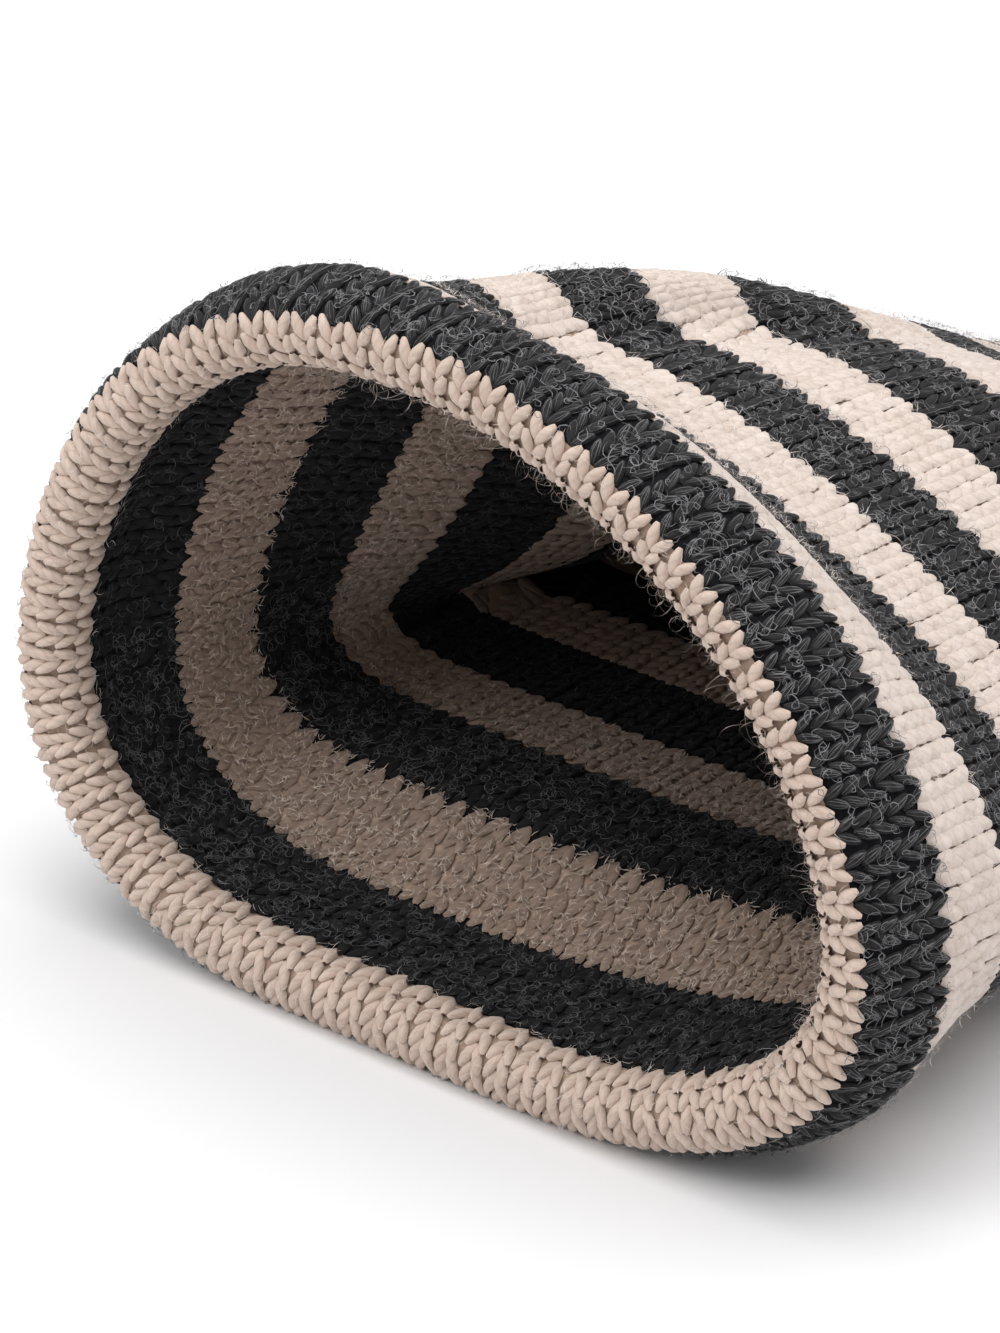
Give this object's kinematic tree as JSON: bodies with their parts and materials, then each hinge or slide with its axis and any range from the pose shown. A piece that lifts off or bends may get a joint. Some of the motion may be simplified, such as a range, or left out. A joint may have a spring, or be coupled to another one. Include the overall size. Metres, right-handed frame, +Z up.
{
  "type": "striped knit cap",
  "caption": "Soft striped cap of double chunky knit with a rolled rim, lying on its side with its mouth open.",
  "frame": {"origin": "middle of the cap's box, on the surface that it lies on", "axes": "+Z up, -Y out of the mouth, +Y towards the crown, +X across the mouth"},
  "size_m": [0.1722, 0.204, 0.1189],
  "materials": {
    "beige_yarn": "soft matt two-ply yarn with a light halo",
    "charcoal_yarn": "matt dark yarn with curly blue-grey fibres"
  },
  "bodies": {
    "root": {"knit_cap": "beige_yarn"}
  },
  "joints": []
}
